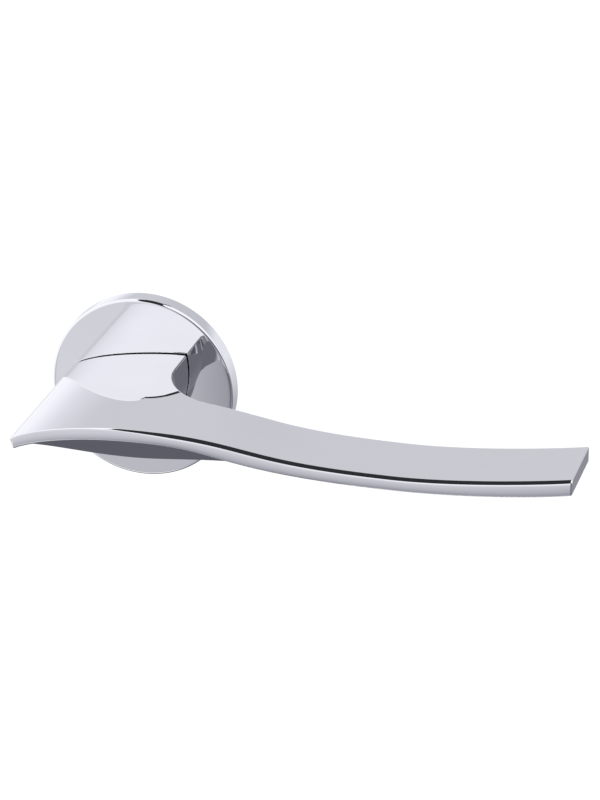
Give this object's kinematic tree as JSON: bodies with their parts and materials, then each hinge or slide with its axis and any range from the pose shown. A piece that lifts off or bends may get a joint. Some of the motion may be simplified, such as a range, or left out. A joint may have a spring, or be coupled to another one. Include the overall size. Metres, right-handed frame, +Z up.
{
  "type": "door lever handle",
  "caption": "Wave-shaped door lever on a slim round sprung rose, with a square spindle and two threaded fixing lugs, polished chrome.",
  "frame": {"origin": "centre of the rose on the door's face, on the spindle's axis", "axes": "+X along the lever towards its free end, +Y into the door along the spindle, +Z up"},
  "size_m": [0.157, 0.095, 0.052],
  "materials": {
    "chrome_lever": "polished chrome plate on cast zinc alloy",
    "chrome_rose": "polished chrome plate on pressed brass",
    "spindle_steel": "bright zinc-plated square bar",
    "screw_steel": "black-oxide steel screw",
    "spring_steel": "blued and oiled spring steel",
    "plate_steel": "zinc-plated sheet steel",
    "base_zinc": "raw zinc die casting, sand-blasted",
    "insert_brass": "turned brass",
    "nylon": "moulded natural nylon",
    "glide_nylon": "moulded black nylon",
    "grip_rubber": "extruded rubber ring"
  },
  "bodies": {
    "root": {"rose_cover": "chrome_rose", "rose_base": "base_zinc", "front_bush": "nylon", "glide_ring": "glide_nylon", "cover_grip_ring": "grip_rubber", "threaded_inserts": "insert_brass", "stop_pins": "spindle_steel", "return_spring": "spring_steel", "back_plate": "plate_steel", "plate_bush": "nylon", "plate_screws": "spindle_steel"},
    "lever_body": {"lever": "chrome_lever", "grub_screw": "screw_steel", "spindle": "spindle_steel", "drive_disc": "plate_steel", "disc_spring": "spring_steel", "retaining_ring": "screw_steel"}
  },
  "joints": [
    {"name": "lever_turn", "type": "hinge", "parent": "root", "child": "lever_body", "pos_m": [0, 0, 0], "axis": [0, 1, 0], "range_deg": [0, 45], "stiffness_Nm_per_rad": 0.25, "springref_deg": -34.38, "deforming": ["return_spring"]}
  ]
}
